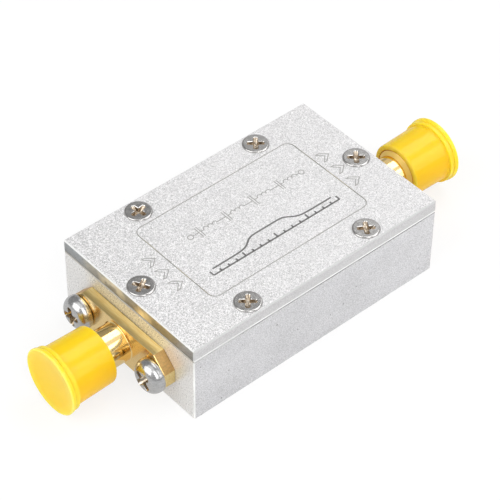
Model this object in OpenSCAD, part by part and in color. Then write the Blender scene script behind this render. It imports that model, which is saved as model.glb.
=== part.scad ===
// Coaxial bandpass filter: a milled aluminium case with a screwed lid, a flange jack at each end
// and a push-on dust cap on each jack. Ceramic resonators on a board inside do the filtering.
// The origin is the centre of the bottom face. X runs from the input jack to the output jack,
// Y across the case and Z up. All sizes are in millimetres.

/* [Case] */
// Length between the end faces
case_l = 40; // [38:0.5:60]
// Width
case_w = 25; // [24:0.5:40]
// Height with the lid
case_h = 12; // [11.6:0.2:20]
// Thickness of the lid
lid_t = 1.8; // [1.6:0.1:2.6]
// Thickness of the end walls, which carry the jacks
end_wall = 4.5; // [4.3:0.1:5.5]
// Thickness of the long side walls
side_wall = 4.3; // [4:0.1:4.8]
// Corner radius that the cutter leaves in the pocket
pocket_r = 2; // [1:0.25:2.5]
// Width of the ledge that the board lies on
ledge_w = 4.2; // [3.8:0.1:4.6]
// Depth of the relief pocket below the ledge
relief_depth = 1.5; // [0.5:0.1:2]
// Chamfer on the outer edges of the housing and the lid
edge_break = 0.15; // [0.05:0.05:0.3]

/* [Lid marking] */
// Length of the engraved border
border_l = 25.8; // [20:0.2:28]
// Width of the engraved border
border_w = 15.4; // [12:0.1:16]
// Corner radius of the border's centre line
border_r = 1.1; // [0.6:0.1:4]
// Width of the engraved line
engraving_w = 0.15; // [0.1:0.05:0.4]
// Depth of the engraved line
engraving_depth = 0.1; // [0.05:0.01:0.3]
// Distance of the border's centre from the lid's centre, towards the output
border_shift = 0.4; // [0:0.1:1]
// Distance of the border's centre from the lid's centre, across the case
border_side_shift = 0.35; // [0:0.05:0.5]

/* [Lid screws] */
// Thread diameter
lid_screw_d = 2; // [1.6:0.1:2.2]
// Overall length
lid_screw_l = 4; // [3.4:0.1:4]
// Head diameter
lid_head_d = 3.6; // [3.2:0.1:3.8]
// Height of the head's straight edge, which stands above the lid
lid_head_edge = 0.2; // [0.1:0.05:0.4]
// Distance between the two screws along each side
side_screw_span = 19.5; // [14:0.5:24]
// Distance of the side screws from the long edges
side_inset = 2.1; // [2:0.05:2.3]
// Distance of the end screws from the short edges
end_inset = 2.2; // [2:0.05:2.4]
// Width across the cross recess of a lid or board screw
small_recess_span = 2.3; // [1.8:0.1:2.6]

/* [Jacks] */
// Height of the jacks' axis above the bottom
axis_z = 5; // [4.7:0.1:5.3]
// Height of the flange
flange_h = 6.2; // [5.8:0.1:7]
// Thickness of the flange
flange_t = 1.65; // [1.3:0.05:2.5]
// Size of the flange's cropped corners
flange_crop = 2.05; // [1:0.05:2.6]
// Diameter of the plain neck
neck_d = 5.3; // [5:0.1:5.6]
// Length of the plain neck
neck_l = 3.3; // [2.5:0.1:4]
// Outer diameter of the thread
thread_d = 6.35; // [6.2:0.05:6.6]
// Pitch of the thread
thread_pitch = 0.706; // [0.6:0.001:0.9]
// Length of the neck and thread together
barrel_l = 9.4; // [8.6:0.1:11]
// Diameter of the socket in the barrel's end
socket_d = 4.6; // [4.4:0.1:4.8]
// Depth of the socket
socket_depth = 1.93; // [1.5:0.01:2.5]
// Diameter of the insulating sleeve
sleeve_d = 4.1; // [3.8:0.1:4.2]
// Diameter of the centre contact
contact_d = 1.27; // [1.1:0.01:1.4]
// Bore of the centre contact
contact_bore_d = 0.94; // [0.8:0.01:1]
// Depth of the centre contact's bore
contact_bore_depth = 3; // [2:0.1:4]
// Width of the slots in the centre contact
contact_slot = 0.2; // [0.1:0.05:0.3]
// Reach of the contact's pin past the inner face of the end wall
pin_reach = 2.5; // [2:0.1:3]

/* [Flange screws] */
// Thread diameter
flange_screw_d = 2.5; // [2:0.1:2.6]
// Length under the head
flange_screw_l = 5; // [4:0.1:5]
// Distance between the two screws of a flange
flange_pitch = 14; // [13:0.1:14.5]
// Distance from a screw's centre to the flange's end
flange_ear = 1.95; // [1.7:0.05:2.5]
// Head diameter
pan_d = 4.7; // [4:0.1:4.8]
// Head height
pan_h = 1.9; // [1.5:0.05:2.2]
// Width across the cross recess
pan_recess_span = 2.7; // [2:0.1:3]

/* [Dust caps] */
// Radial clearance between the cap's bore and the thread
cap_clearance = 0.075; // [0.02:0.005:0.1]
// Wall thickness at the mouth
cap_wall = 0.7; // [0.5:0.05:0.9]
// Growth of the outer radius from the mouth to the lips
cap_flare = 0.13; // [0:0.01:0.2]
// Depth of the bore
cap_depth = 6.3; // [5:0.1:7]
// Thickness of the closed end
cap_end = 0.95; // [0.8:0.05:1.5]
// Diameter of the lip round the closed end
cap_lip_d = 9.15; // [8.9:0.05:9.35]
// Diameter of the smaller lip behind it
cap_inner_lip_d = 8.85; // [8.75:0.05:9.1]
// Length of one lip
cap_lip_l = 0.63; // [0.5:0.01:0.75]
// Gap between the barrel's end and the input cap's closed end
cap_tip_gap = 0.1; // [0.05:0.05:0.5]
// Distance that the output cap stands further out than the input cap
output_cap_back = 0.5; // [0:0.05:0.8]

/* [Board] */
// Thickness of the laminate
board_t = 1; // [0.8:0.1:1.4]
// Gap between the board and the pocket walls
board_gap = 0.3; // [0.1:0.05:0.4]
// Thickness of the copper on the laminate
copper_t = 0.05; // [0.03:0.01:0.1]
// Thickness of the solder under the contact's pin
solder_film = 0.05; // [0.02:0.01:0.1]
// Thread diameter of the board screws
board_screw_d = 2; // [1.6:0.1:2.1]
// Length of the board screws under the head
board_screw_l = 3; // [2.6:0.1:3.2]
// Head diameter of the board screws
board_head_d = 3.5; // [3:0.1:3.6]
// Head height of the board screws
board_head_h = 1.3; // [1:0.1:1.6]
// Distance of the board screws from the board's edges
board_screw_inset = 2; // [1.9:0.05:2.2]

/* [Filter] */
// Width and height of a resonator
resonator_w = 4; // [3.4:0.1:4.4]
// Gap between a resonator's closed end and the pocket wall
resonator_wall_gap = 1.1; // [0.8:0.1:1.6]
// Bore of a resonator
resonator_bore_d = 1.2; // [1:0.1:1.4]
// Distance between neighbouring resonators along the case
resonator_pitch = 6.5; // [6:0.1:6.8]
// Distance from the signal line's centre to a resonator's open end
resonator_offset = 1.5; // [1.4:0.05:1.8]
// Width of a resonator's tab
tab_w = 0.8; // [0.6:0.1:1]
// Thickness of a resonator's tab
tab_t = 0.2; // [0.15:0.05:0.3]
// Width of the signal line
line_w = 1.9; // [1.6:0.1:2]
// Break in the signal line under each capacitor
line_break = 0.9; // [0.7:0.1:1]
// Gap between the signal line and the ground copper
ground_gap = 0.6; // [0.4:0.1:0.8]
// Length of a chip capacitor
chip_l = 1.6; // [1.5:0.1:2]
// Width and height of a chip capacitor
chip_w = 0.8; // [0.6:0.1:1]

/* [Hidden] */

$fn = 64;
dome_steps = 8;   // segments of a rounded profile
over = 0.5;       // run-out of a cut past the face it opens on
fit_gap = 0.02;   // gap between pieces that are fixed in each other
hole_gap = 0.1;   // gap round a screw in a clearance hole
tap_gap = 0.03;   // gap round a screw in a tapped hole
tip_room = 0.3;   // room below a screw's tip in a blind hole
thread_depth_ratio = 0.61;  // depth of a 60 degree thread to its pitch
thread_land_ratio = 0.15;   // flat of a thread's crest or root to its pitch
input = -1;       // sides of the case along X
output = 1;

seam_z = case_h - lid_t;
pocket_l = case_l - 2 * end_wall;
pocket_w = case_w - 2 * side_wall;
copper_top = axis_z - contact_d / 2 - solder_film;
board_top = copper_top - copper_t;
ledge_z = board_top - board_t;
relief_z = ledge_z - relief_depth;
board_l = pocket_l - 2 * board_gap;
board_w = pocket_w - 2 * board_gap;

sleeve_bore_d = sleeve_d + 2 * fit_gap;
flange_l = flange_pitch + 2 * flange_ear;
barrel_tip = flange_t + barrel_l;
socket_floor = barrel_tip - socket_depth;
thread_depth = thread_depth_ratio * thread_pitch;
thread_start = flange_t + neck_l;
thread_chamfer = thread_depth;
thread_turns = floor((barrel_l - neck_l - thread_chamfer) / thread_pitch);

cap_bore_r = thread_d / 2 + cap_clearance;
cap_mouth_r = cap_bore_r + cap_wall;
lip_groove = 0.14;   // depth of the groove between the lips, below the smaller one
lip_round = 0.1;     // rounding of the lip's edge at the closed end
mouth_round = 0.15;  // rounding at the cap's mouth

lid_recess_depth = 0.75;
pan_recess_depth = 1.2;
board_recess_depth = 0.8;
recess_wing_ratio = 0.24;  // width of a recess wing to its span
recess_root_ratio = 0.17;  // radius at the recess's foot to its span
pan_side = 0.5;            // straight side of a pan head
dome_flat = 0.45;          // flat middle of a domed head, as a share of its radius
head_bevel = 0.08;         // bevel on the heads' edges

chip_band = 0.35;   // length of a capacitor's end terminals
chip_step = 0.03;   // height of the terminals over the ceramic
line_end = 0.3;     // copper kept back from the board's edge
tab_gap = 0.1;      // gap between a tab and the resonator's open end
tab_pin_l = 1.6;    // reach of a tab's pin into the bore
tab_pin_gap = 0.1;  // gap round the pin in the bore
tab_foot = 0.5;     // length of a tab's foot on the line
solder_lap = 0.25;  // solder past the pin's tip
solder_base = 1.7;  // width of a solder joint on the line
solder_crown = 0.6; // width of its top
solder_rise = 0.95; // its height
resonator_break = 0.15;
resonator_l = pocket_w / 2 - resonator_offset - resonator_wall_gap;
resonator_x = [-resonator_pitch, 0, resonator_pitch];
pin_end = pocket_l / 2 - pin_reach;
outer_chip_x = (resonator_pitch + pin_end) / 2;
chip_x = [-outer_chip_x, -resonator_pitch / 2, resonator_pitch / 2, outer_chip_x];
line_edges = concat([line_end - board_l / 2],
                    [for (x = chip_x, side = [-1, 1]) x + side * line_break / 2],
                    [board_l / 2 - line_end]);

// Places of the lid screws, each with the turn of its recess
side_x = side_screw_span / 2;
side_y = case_w / 2 - side_inset;
end_x = case_l / 2 - end_inset;
lid_screw_places = [
    [-side_x, side_y, 8], [-end_x, 0, 29], [-side_x, -side_y, 49],
    [side_x, -side_y, 55], [end_x, 0, 50], [side_x, side_y, 51]
];
// Turns of the recesses in the flange screws at Y- and Y+
flange_screw_turns = [12, 50];
board_screw_x = board_l / 2 - board_screw_inset;
board_screw_y = board_w / 2 - board_screw_inset;

// Rectangle with bevelled corners, centred
module bevelled_rect(l, w, bevel) {
    x = l / 2;
    y = w / 2;
    polygon([
        [x - bevel, -y], [x, bevel - y], [x, y - bevel], [x - bevel, y],
        [bevel - x, y], [-x, y - bevel], [-x, bevel - y], [bevel - x, -y]
    ]);
}

// Block with all its edges bevelled, centred
module bevelled_block(l, w, h, bevel) {
    intersection() {
        linear_extrude(h, center = true) bevelled_rect(l, w, bevel);
        rotate([90, 0, 0]) linear_extrude(w, center = true) bevelled_rect(l, h, bevel);
        rotate([90, 0, 90]) linear_extrude(l, center = true) bevelled_rect(w, h, bevel);
    }
}

// Rectangle with round corners, centred
module rounded_rect(l, w, r) {
    square([l - 2 * r, w], center = true);
    square([l, w - 2 * r], center = true);
    for (x = [-1, 1], y = [-1, 1])
        translate([x * (l / 2 - r), y * (w / 2 - r)]) circle(r);
}

// Body turned about Z from a profile of [radius, height] points
module turned(profile) {
    rotate_extrude() polygon(profile);
}

// Local frame of an end: the origin on the end face at the jack's axis, X pointing outwards
module at_end(side) {
    translate([side * case_l / 2, 0, axis_z])
        rotate(side == input ? 180 : 0) children();
}

// Turns Z into X, so that what is built upwards points along the jack's axis
module along_x() {
    rotate([0, 90, 0]) children();
}

module at_lid_screws() {
    for (place = lid_screw_places)
        translate([place.x, place.y, case_h]) rotate(place.z) children();
}

module at_board_screws() {
    for (x = [-1, 1], y = [-1, 1])
        translate([x * board_screw_x, y * board_screw_y, copper_top]) children();
}

// The flange's front face at each of its screws, with Z pointing outwards
module at_flange_screws() {
    for (i = [0, 1])
        translate([flange_t, (2 * i - 1) * flange_pitch / 2, 0])
            along_x() rotate(flange_screw_turns[i]) children();
}

// Cross recess below Z = 0, with wings that taper towards its foot
module cross_recess(span, depth) {
    wing = recess_wing_ratio * span;
    intersection() {
        union() {
            translate([0, 0, -depth])
                cylinder(h = depth, r1 = recess_root_ratio * span, r2 = span / 2);
            cylinder(h = over, d = span);
        }
        union() for (turn = [0, 90])
            rotate(turn) translate([0, 0, (over - depth) / 2])
                cube([span, wing, depth + over], center = true);
    }
}

// Screw with a domed head above Z = 0 and its shank below
module pan_screw(head_d, head_h, shank_d, shank_l, span, depth) {
    head_r = head_d / 2;
    flat_r = dome_flat * head_r;
    difference() {
        turned(concat(
            [[0, -shank_l], [shank_d / 2 - head_bevel, -shank_l],
             [shank_d / 2, head_bevel - shank_l], [shank_d / 2, 0],
             [head_r - head_bevel, 0], [head_r, head_bevel]],
            [for (i = [0:dome_steps]) let (a = 90 * i / dome_steps)
                [flat_r + (head_r - flat_r) * cos(a), pan_side + (head_h - pan_side) * sin(a)]],
            [[0, head_h]]));
        translate([0, 0, head_h]) cross_recess(span, depth);
    }
}

// Screw with a conical head, whose straight edge stands above Z = 0
module countersunk_screw() {
    head_r = lid_head_d / 2;
    shank_r = lid_screw_d / 2;
    tip = lid_head_edge - lid_screw_l;
    difference() {
        turned([
            [0, tip], [shank_r - head_bevel, tip], [shank_r, tip + head_bevel],
            [shank_r, shank_r - head_r], [head_r, 0], [head_r, lid_head_edge - head_bevel],
            [head_r - head_bevel, lid_head_edge], [0, lid_head_edge]
        ]);
        translate([0, 0, lid_head_edge]) cross_recess(small_recess_span, lid_recess_depth);
    }
}

module housing() {
    lid_tap_l = lid_screw_l - lid_head_edge - lid_t + tip_room;
    flange_tap_l = flange_screw_l - flange_t + tip_room;
    board_tap_l = board_screw_l + tip_room;
    color("silver") difference() {
        translate([0, 0, seam_z / 2]) bevelled_block(case_l, case_w, seam_z, edge_break);
        translate([0, 0, ledge_z])
            linear_extrude(seam_z - ledge_z + over) rounded_rect(pocket_l, pocket_w, pocket_r);
        translate([0, 0, relief_z])
            linear_extrude(relief_depth + over)
                rounded_rect(pocket_l - 2 * ledge_w, pocket_w - 2 * ledge_w, pocket_r);
        at_lid_screws() translate([0, 0, -lid_t - lid_tap_l])
            cylinder(h = lid_tap_l + over, r = lid_screw_d / 2 + tap_gap);
        at_board_screws() translate([0, 0, -board_tap_l])
            cylinder(h = board_tap_l, r = board_screw_d / 2 + tap_gap);
        for (side = [input, output]) at_end(side) {
            translate([-end_wall - over, 0, 0])
                along_x() cylinder(h = end_wall + 2 * over, d = sleeve_bore_d);
            at_flange_screws() translate([0, 0, -flange_t - flange_tap_l])
                cylinder(h = flange_tap_l + over, r = flange_screw_d / 2 + tap_gap);
        }
    }
}

module lid() {
    hole_r = lid_screw_d / 2 + hole_gap;
    seat_r = lid_head_d / 2 + fit_gap;
    color("gainsboro") difference() {
        translate([0, 0, case_h - lid_t / 2]) bevelled_block(case_l, case_w, lid_t, edge_break);
        at_lid_screws() {
            translate([0, 0, -lid_t - over]) cylinder(h = lid_t + 2 * over, r = hole_r);
            translate([0, 0, hole_r - seat_r])
                cylinder(h = seat_r - hole_r, r1 = hole_r, r2 = seat_r);
            cylinder(h = over, r = seat_r);
        }
        translate([border_shift, border_side_shift, case_h - engraving_depth])
            linear_extrude(engraving_depth + over) difference() {
                rounded_rect(border_l + engraving_w, border_w + engraving_w,
                             border_r + engraving_w / 2);
                rounded_rect(border_l - engraving_w, border_w - engraving_w,
                             border_r - engraving_w / 2);
            }
    }
}

module lid_screws() {
    color("dimgray") at_lid_screws() countersunk_screw();
}

// Outline of the neck and the thread, whose grooves are cut by a loop over the turns
function barrel_profile() = let (
    crest = thread_d / 2,
    root = crest - thread_depth,
    land = thread_land_ratio * thread_pitch,
    flank = thread_pitch / 2 - land
) concat(
    [[0, 0], [neck_d / 2, 0], [neck_d / 2, thread_start]],
    [for (i = [0:thread_turns - 1]) let (z = thread_start + i * thread_pitch)
        each [[root, z], [root, z + land], [crest, z + land + flank],
              [crest, z + 2 * land + flank]]],
    [[root, thread_start + thread_turns * thread_pitch],
     [crest, thread_start + thread_turns * thread_pitch + flank],
     [crest, barrel_tip - thread_chamfer], [root, barrel_tip], [0, barrel_tip]]
);

module jack_shell(side) {
    color("goldenrod") at_end(side) difference() {
        union() {
            rotate([90, 0, 90]) linear_extrude(flange_t)
                bevelled_rect(flange_l, flange_h, flange_crop);
            along_x() turned(barrel_profile());
        }
        translate([-over, 0, 0])
            along_x() cylinder(h = barrel_tip + 2 * over, d = sleeve_bore_d);
        translate([socket_floor, 0, 0])
            along_x() cylinder(h = socket_depth + over, d = socket_d);
        at_flange_screws() translate([0, 0, -flange_t - over])
            cylinder(h = flange_t + 2 * over, r = flange_screw_d / 2 + hole_gap);
    }
}

module dielectric(side) {
    sleeve_l = socket_floor + end_wall;
    color("white") at_end(side) translate([-end_wall, 0, 0]) along_x() difference() {
        cylinder(h = sleeve_l, d = sleeve_d);
        translate([0, 0, -over]) cylinder(h = sleeve_l + 2 * over, d = contact_d + 2 * fit_gap);
    }
}

// Centre contact: a slotted socket at the front and a solder pin at the back
module contact(side) {
    contact_l = end_wall + pin_reach + socket_floor;
    color("gold") at_end(side) translate([-end_wall - pin_reach, 0, 0]) along_x() difference() {
        cylinder(h = contact_l, d = contact_d);
        translate([0, 0, contact_l - contact_bore_depth])
            cylinder(h = contact_bore_depth + over, d = contact_bore_d);
        for (turn = [0, 90])
            rotate(turn) translate([0, 0, contact_l - contact_bore_depth / 2 + over / 2])
                cube([contact_slot, contact_d + over, contact_bore_depth + over], center = true);
    }
}

module flange_screws(side) {
    color("lightgray") at_end(side) at_flange_screws()
        pan_screw(pan_d, pan_h, flange_screw_d, flange_screw_l, pan_recess_span,
                  pan_recess_depth);
}

// Rounded ridge from height z on, from radius low to radius high. A sweep of 180 degrees takes
// it up and back down, and one of 90 degrees only up.
function ridge(z, length, low, high, sweep) =
    [for (i = [1:dome_steps]) let (a = sweep * i / dome_steps)
        [low + (high - low) * sqrt(sin(a)), z + length * (1 - cos(a)) / (1 - cos(sweep))]];

module dust_cap(side) {
    back = side == output ? output_cap_back : 0;
    cap_l = cap_depth + cap_end;
    tube_l = cap_l - 2 * cap_lip_l;
    lip_r = cap_lip_d / 2;
    inner_lip_r = cap_inner_lip_d / 2;
    base_r = inner_lip_r - lip_groove;
    tube_r = cap_mouth_r + cap_flare;
    mouth_x = barrel_tip + cap_tip_gap + back - cap_depth;
    color("gold") at_end(side) translate([mouth_x, 0, 0]) along_x() difference() {
        turned(concat(
            [[0, 0], [cap_mouth_r - mouth_round, 0], [cap_mouth_r, mouth_round],
             [tube_r, tube_l], [base_r, tube_l]],
            ridge(tube_l, cap_lip_l, base_r, inner_lip_r, 180),
            ridge(tube_l + cap_lip_l, cap_lip_l - lip_round, base_r, lip_r, 90),
            [[lip_r - lip_round, cap_l], [0, cap_l]]));
        translate([0, 0, -over]) cylinder(h = cap_depth + over, r = cap_bore_r);
        cylinder(h = mouth_round, r1 = cap_bore_r + mouth_round, r2 = cap_bore_r);
    }
}

module circuit_board() {
    color("seagreen") translate([0, 0, ledge_z]) difference() {
        linear_extrude(board_t) rounded_rect(board_l, board_w, pocket_r);
        translate([0, 0, -ledge_z]) board_screw_holes();
    }
}

module board_screw_holes() {
    at_board_screws() translate([0, 0, -board_t - over])
        cylinder(h = board_t + 2 * over, r = board_screw_d / 2 + hole_gap);
}

// Signal line: one strip of copper between each two breaks
module signal_traces() {
    color("peru") for (i = [0:2:len(line_edges) - 2])
        translate([line_edges[i], -line_w / 2, board_top])
            cube([line_edges[i + 1] - line_edges[i], line_w, copper_t]);
}

module ground_copper() {
    inner = line_w / 2 + ground_gap;
    ground_w = board_w / 2 - line_end - inner;
    color("peru") difference() {
        for (side = [-1, 1])
            translate([0, side * (inner + ground_w / 2), board_top])
                linear_extrude(copper_t)
                    bevelled_rect(board_l - 2 * line_end, ground_w, pocket_r - line_end);
        board_screw_holes();
    }
}

module board_screws() {
    color("lightgray") at_board_screws()
        pan_screw(board_head_d, board_head_h, board_screw_d, board_screw_l,
                  small_recess_span, board_recess_depth);
}

// Local frame of a resonator: on the copper at the signal line, Y pointing along the resonator.
// Neighbours lie on opposite sides of the line.
module at_resonator(i) {
    translate([resonator_x[i], 0, copper_top]) rotate(i % 2 == 0 ? 180 : 0) children();
}

module resonator(i) {
    color("lightsteelblue") at_resonator(i)
        translate([0, resonator_offset + resonator_l / 2, resonator_w / 2]) difference() {
            bevelled_block(resonator_w, resonator_l, resonator_w, resonator_break);
            rotate([90, 0, 0])
                cylinder(h = resonator_l + over, d = resonator_bore_d, center = true);
        }
}

// Bent strip from a resonator's bore down to the signal line
module resonator_tab(i) {
    pin_r = resonator_bore_d / 2 - tab_pin_gap;
    leg_y = resonator_offset - tab_gap - tab_t;
    color("silver") at_resonator(i) {
        translate([-tab_w / 2, leg_y, 0]) cube([tab_w, tab_t, resonator_w / 2 + pin_r]);
        translate([-tab_w / 2, leg_y - tab_foot, 0]) cube([tab_w, tab_foot + tab_t, tab_t]);
        translate([0, leg_y, resonator_w / 2]) rotate([-90, 0, 0])
            cylinder(h = tab_t + tab_gap + tab_pin_l, r = pin_r);
    }
}

module coupling_capacitor(i) {
    color("tan") translate([chip_x[i], 0, copper_top + chip_w / 2]) {
        cube([chip_l - 2 * chip_step, chip_w - 2 * chip_step, chip_w - 2 * chip_step],
             center = true);
        for (side = [-1, 1]) translate([side * (chip_l - chip_band) / 2, 0, 0])
            cube([chip_band, chip_w, chip_w], center = true);
    }
}

// Solder round the contact's pin, on the signal line
module solder(side) {
    joint_l = pin_reach - board_gap - line_end + solder_lap;
    color("lightgray") at_end(side) difference() {
        translate([-end_wall - pin_reach - solder_lap, 0, copper_top - axis_z])
            rotate([90, 0, 90]) linear_extrude(joint_l) polygon([
                [-solder_base / 2, 0], [solder_base / 2, 0],
                [solder_crown / 2, solder_rise], [-solder_crown / 2, solder_rise]
            ]);
        translate([-end_wall - pin_reach, 0, 0])
            along_x() cylinder(h = pin_reach, d = contact_d);
    }
}

housing();
lid();
lid_screws();
jack_shell(input);  // input_shell
jack_shell(output);  // output_shell
dielectric(input);  // input_dielectric
dielectric(output);  // output_dielectric
contact(input);  // input_contact
contact(output);  // output_contact
flange_screws(input);  // input_flange_screws
flange_screws(output);  // output_flange_screws
dust_cap(input);  // input_dust_cap
dust_cap(output);  // output_dust_cap
circuit_board();
signal_traces();
ground_copper();
board_screws();
resonator(0);  // resonator_1
resonator(1);  // resonator_2
resonator(2);  // resonator_3
resonator_tab(0);  // resonator_tab_1
resonator_tab(1);  // resonator_tab_2
resonator_tab(2);  // resonator_tab_3
coupling_capacitor(0);  // coupling_capacitor_1
coupling_capacitor(1);  // coupling_capacitor_2
coupling_capacitor(2);  // coupling_capacitor_3
coupling_capacitor(3);  // coupling_capacitor_4
solder(input);  // input_solder
solder(output);  // output_solder
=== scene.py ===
"""Looks of a coaxial bandpass filter: a blasted aluminium case with gold jacks and yellow dust caps.

The case, the lid and all that is inside keep their CAD meshes and get procedural materials. The
round pieces that show are replaced by finer meshes of the same form. Sizes are in millimetres
until a mesh is finished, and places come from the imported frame.
"""

import math

import bmesh
import bpy
from mathutils import Matrix, Vector

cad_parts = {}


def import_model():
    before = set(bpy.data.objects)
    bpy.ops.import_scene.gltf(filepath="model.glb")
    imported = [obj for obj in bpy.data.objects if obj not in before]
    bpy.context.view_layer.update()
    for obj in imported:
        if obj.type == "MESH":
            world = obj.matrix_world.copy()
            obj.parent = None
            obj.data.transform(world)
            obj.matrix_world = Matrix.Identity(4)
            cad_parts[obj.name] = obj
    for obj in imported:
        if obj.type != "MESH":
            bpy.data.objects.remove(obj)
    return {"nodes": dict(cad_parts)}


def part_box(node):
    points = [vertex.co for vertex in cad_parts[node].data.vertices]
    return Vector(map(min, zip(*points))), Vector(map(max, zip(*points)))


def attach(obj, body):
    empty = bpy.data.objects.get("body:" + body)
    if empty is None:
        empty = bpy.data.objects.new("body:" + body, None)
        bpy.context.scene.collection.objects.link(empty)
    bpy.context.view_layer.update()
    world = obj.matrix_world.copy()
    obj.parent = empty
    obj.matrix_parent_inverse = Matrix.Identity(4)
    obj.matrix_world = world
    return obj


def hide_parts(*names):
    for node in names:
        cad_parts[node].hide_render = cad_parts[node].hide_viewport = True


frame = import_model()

MM = 0.001
WELD = 1e-5
X, Y, Z = range(3)
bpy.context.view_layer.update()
# The two ends of the part, and the direction along X that each one faces
ENDS = {"input": -1, "output": 1}


def box_mm(node):
    """Lowest and highest corner of a CAD node."""
    low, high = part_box(node)
    return low / MM, high / MM


# Places and sizes that the frame gives
HOUSING_HIGH = box_mm("housing")[1]
SHELL_LOW, SHELL_HIGH = box_mm("output_shell")
CAP_LOW, CAP_HIGH = box_mm("output_dust_cap")
SCREW_LOW, SCREW_HIGH = box_mm("output_flange_screws")
CASE_END = HOUSING_HIGH.x
SEAM_Z = HOUSING_HIGH.z
LID_TOP = box_mm("lid")[1].z
AXIS_Z = (CAP_LOW.z + CAP_HIGH.z) / 2
BARREL_TIP = SHELL_HIGH.x - CASE_END
FLANGE_L = SHELL_HIGH.y - SHELL_LOW.y
HEAD_EDGE = box_mm("lid_screws")[1].z - LID_TOP

# Case and the chip capacitors in it
EDGE_BREAK = 0.15
CHIP_BODY_HALF_W = 0.385

# Jack
FLANGE_H = 6.2
FLANGE_T = 1.65
FLANGE_CROP = 2.05
FLANGE_BEVEL = 0.06
NECK_R = 2.65
NECK_L = 3.3
NECK_FILLET = 0.14
THREAD_R = 3.175
THREAD_PITCH = 0.706
THREAD_DEPTH = 0.43
THREAD_LEAD = 1.2
THREAD_PLAIN = 0.45
THREAD_RUN_IN = 0.3
# Together they leave a flat crest and root of 15 percent of the pitch each
FLANK_SLOPE = 1.43
THREAD_LAND = 0.215
SOCKET_R = 2.3
SOCKET_DEPTH = 1.93
SOCKET_CHAMFER = 0.12
SLEEVE_BORE_R = 2.07
SCREW_HOLE_R = 1.35
JACK_SEGMENTS = 112
HOLE_SEGMENTS = 48
ROWS_PER_PITCH = 14

# Dust cap
CAP_BORE_R = 3.25
CAP_MOUTH_R = 3.95
CAP_TUBE_R = 4.08
CAP_DEPTH = 6.3
CAP_LIP_L = 0.63
CAP_INNER_LIP_R = 4.425
CAP_GROOVE = {"input": 0.14, "output": 0.05}
CAP_LIP_ROUND = 0.1
CAP_MOUTH_ROUND = 0.3
CAP_THROAT_ROUND = 0.1
CAP_FLOOR_CHAMFER = 0.2
CAP_FOOT_L = 0.12
CAP_FOOT_RISE = 0.1
CAP_DISH = 0.03
# Slope into the dish, as a share of its depth and a distance from the lip's edge
CAP_DISH_SLOPE = ((0, 0.35), (0.4, 0.42), (1, 0.5))
CAP_SEGMENTS = 144
# Only one cap shows its moulding nub. Its size is its length, its rise and its width
NUB_END = "input"
NUB_ANGLE = math.radians(285)
NUB_SIZE = (0.25, 0.3, 0.28)
NUB_SINK = 0.1

# Screws. A recess is its span, its depth and the width of a wing, and turns are in degrees
PAN_R = 2.35
PAN_SIDE = 0.5
# Share of the head's radius
PAN_FLAT = 0.45
PAN_EDGE = 0.3
PAN_SHANK_R = 1.25
PAN_RECESS = (2.8, 1.2, 0.8)
FLANGE_SCREW_TURNS = (12, 50)
FLANGE_PITCH = 14
LID_HEAD_R = 1.8
LID_SHANK_R = 1.0
LID_RIM_W = 0.2
LID_RECESS = (2.3, 0.75, 0.58)
# Place of each screw and the turn of its recess
LID_SCREW_PLACES = (
    (-9.75, 10.4, 8), (-17.8, 0, 29), (-9.75, -10.4, 49),
    (9.75, -10.4, 55), (17.8, 0, 50), (9.75, 10.4, 51),
)
# Walls of a recess, as shares of its depth, its reach and the width of a wing
RECESS_WALLS = ((0.5, 0.8, 0.95), (0.85, 0.55, 0.85), (1, 0.25, 0.5))
RECESS_FLARE = 0.07
SHANK_CHAMFER = 0.1
HEAD_SEGMENTS = 96

# Engraved border and marks on the lid. The border is its length, its width and its corner radius
BORDER = (25.8, 15.4, 1.1)
BORDER_CENTRE = (0.4, 0.35)
BORDER_W = 0.14
BORDER_DEPTH = 0.1
BORDER_FLOOR_T = 0.02
MARK_RISE = 0.008
MARK_SINK = 0.01
SCALE_LINE_W = 0.24
FINE_LINE_W = 0.13
MITRE_LIMIT = 0.4
# Place of each row of chevrons along the lid, and its pitch
CHEVRON_ROWS = ((-14.1, 2.6), (15.0, 2.9))


# Meshes
def finish(bm, name, body, *materials, sharp=32, replaces=(), slot=None):
    """Turns a mesh in millimetres into a piece in metres that rides on a body."""
    bmesh.ops.remove_doubles(bm, verts=bm.verts, dist=WELD)
    bmesh.ops.recalc_face_normals(bm, faces=bm.faces)
    bmesh.ops.scale(bm, vec=(MM, MM, MM), verts=bm.verts)
    mesh = bpy.data.meshes.new(name)
    bm.to_mesh(mesh)
    bm.free()
    mesh.shade_smooth()
    mesh.set_sharp_from_angle(angle=math.radians(sharp))
    for material in materials:
        mesh.materials.append(material)
    piece = bpy.data.objects.new(name, mesh)
    bpy.context.scene.collection.objects.link(piece)
    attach(piece, body)
    if replaces:
        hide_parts(*replaces)


def revolve(profile, segments):
    """Mesh turned about X from (x, radius) points that start and end on the axis."""
    bm = bmesh.new()
    rings = []
    for x, r in profile:
        if r == 0:
            rings.append([bm.verts.new((x, 0, 0))])
        else:
            turns = (2 * math.pi * i / segments for i in range(segments))
            rings.append([bm.verts.new((x, r * math.cos(a), r * math.sin(a))) for a in turns])
    for a, b in zip(rings, rings[1:]):
        join_rings(bm, a, b)
    return bm


def join_rings(bm, a, b):
    """Quads between two rings, or triangles where one of them is a single point."""
    count = max(len(a), len(b))
    for i in range(count):
        j = (i + 1) % count
        corners = [a[i % len(a)], a[j % len(a)], b[j % len(b)], b[i % len(b)]]
        bm.faces.new(list(dict.fromkeys(corners)))


def angles(start, end, steps):
    """Even angles in radians, from one in degrees to another and with both."""
    return [math.radians(start + (end - start) * i / steps) for i in range(steps + 1)]


def arc(centre, radius, start, end, steps):
    """Points of an arc about (x, y), from one angle to another in degrees."""
    return [(centre[0] + radius * math.cos(a), centre[1] + radius * math.sin(a))
            for a in angles(start, end, steps)]


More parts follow.
